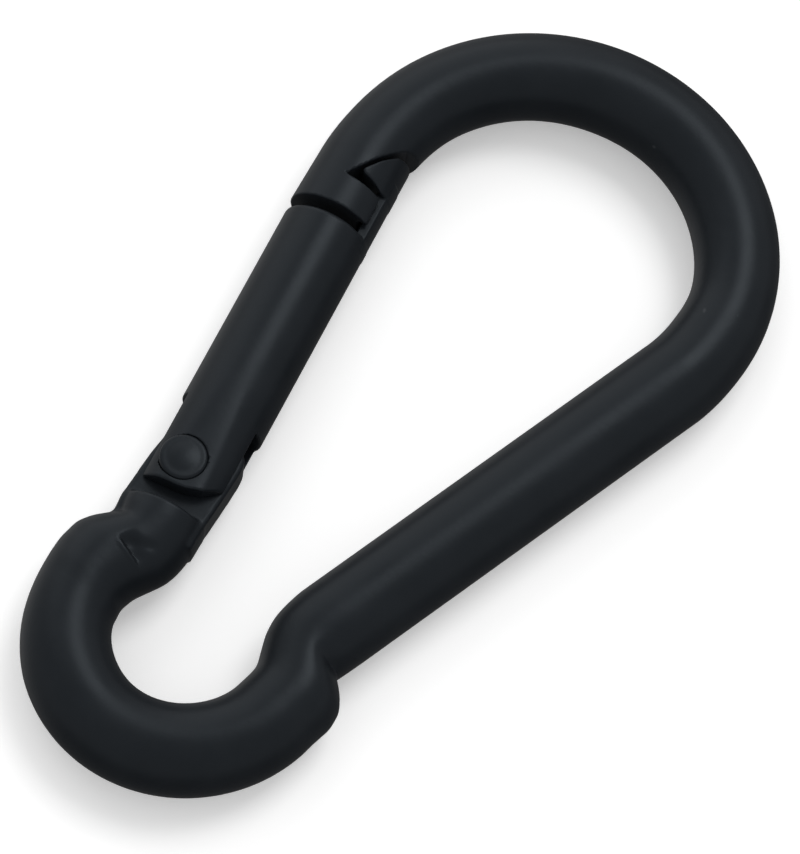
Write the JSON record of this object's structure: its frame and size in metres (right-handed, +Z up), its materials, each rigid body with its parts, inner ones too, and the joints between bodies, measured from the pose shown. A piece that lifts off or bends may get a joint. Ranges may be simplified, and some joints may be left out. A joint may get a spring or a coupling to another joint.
{
  "type": "spring snap hook",
  "caption": "Pear-shaped carabiner keyring bent from round bar, with a small eye, a spring-loaded gate on a rivet and a T-shaped catch in the nose.",
  "frame": {"origin": "bottom centre of the hook's bounding box, as it lies flat on a table", "axes": "+Y along the hook from the eye to the big bend, +X from the gate side to the spine side, +Z up out of the table through the thickness"},
  "size_m": [0.0302, 0.06, 0.0058],
  "materials": {
    "black_coating": "satin black coating on steel",
    "spring_steel": "drawn spring wire",
    "plain_steel": "turned steel"
  },
  "bodies": {
    "hook": {"hook_body": "black_coating"},
    "gate": {"gate": "black_coating", "hinge_rivet": "black_coating", "gate_spring": "spring_steel"},
    "plunger": {"plunger": "plain_steel"}
  },
  "joints": [
    {"name": "gate_hinge", "type": "hinge", "parent": "hook", "child": "gate", "pos_m": [-0.00701, -0.01163, 0.00287], "axis": [0, 0, -1], "range_deg": [0, 40], "stiffness_Nm_per_rad": 0.05, "springref_deg": -40.11},
    {"name": "plunger_slide", "type": "slide", "parent": "gate", "child": "plunger", "axis": [-0.2361, 0.9717, 0], "range_m": [0, 0.0014], "deforming": ["gate_spring"]}
  ],
  "couplings": [
    {"joint": "plunger_slide", "follows": "gate_hinge", "m_per_rad": 0.0017}
  ]
}
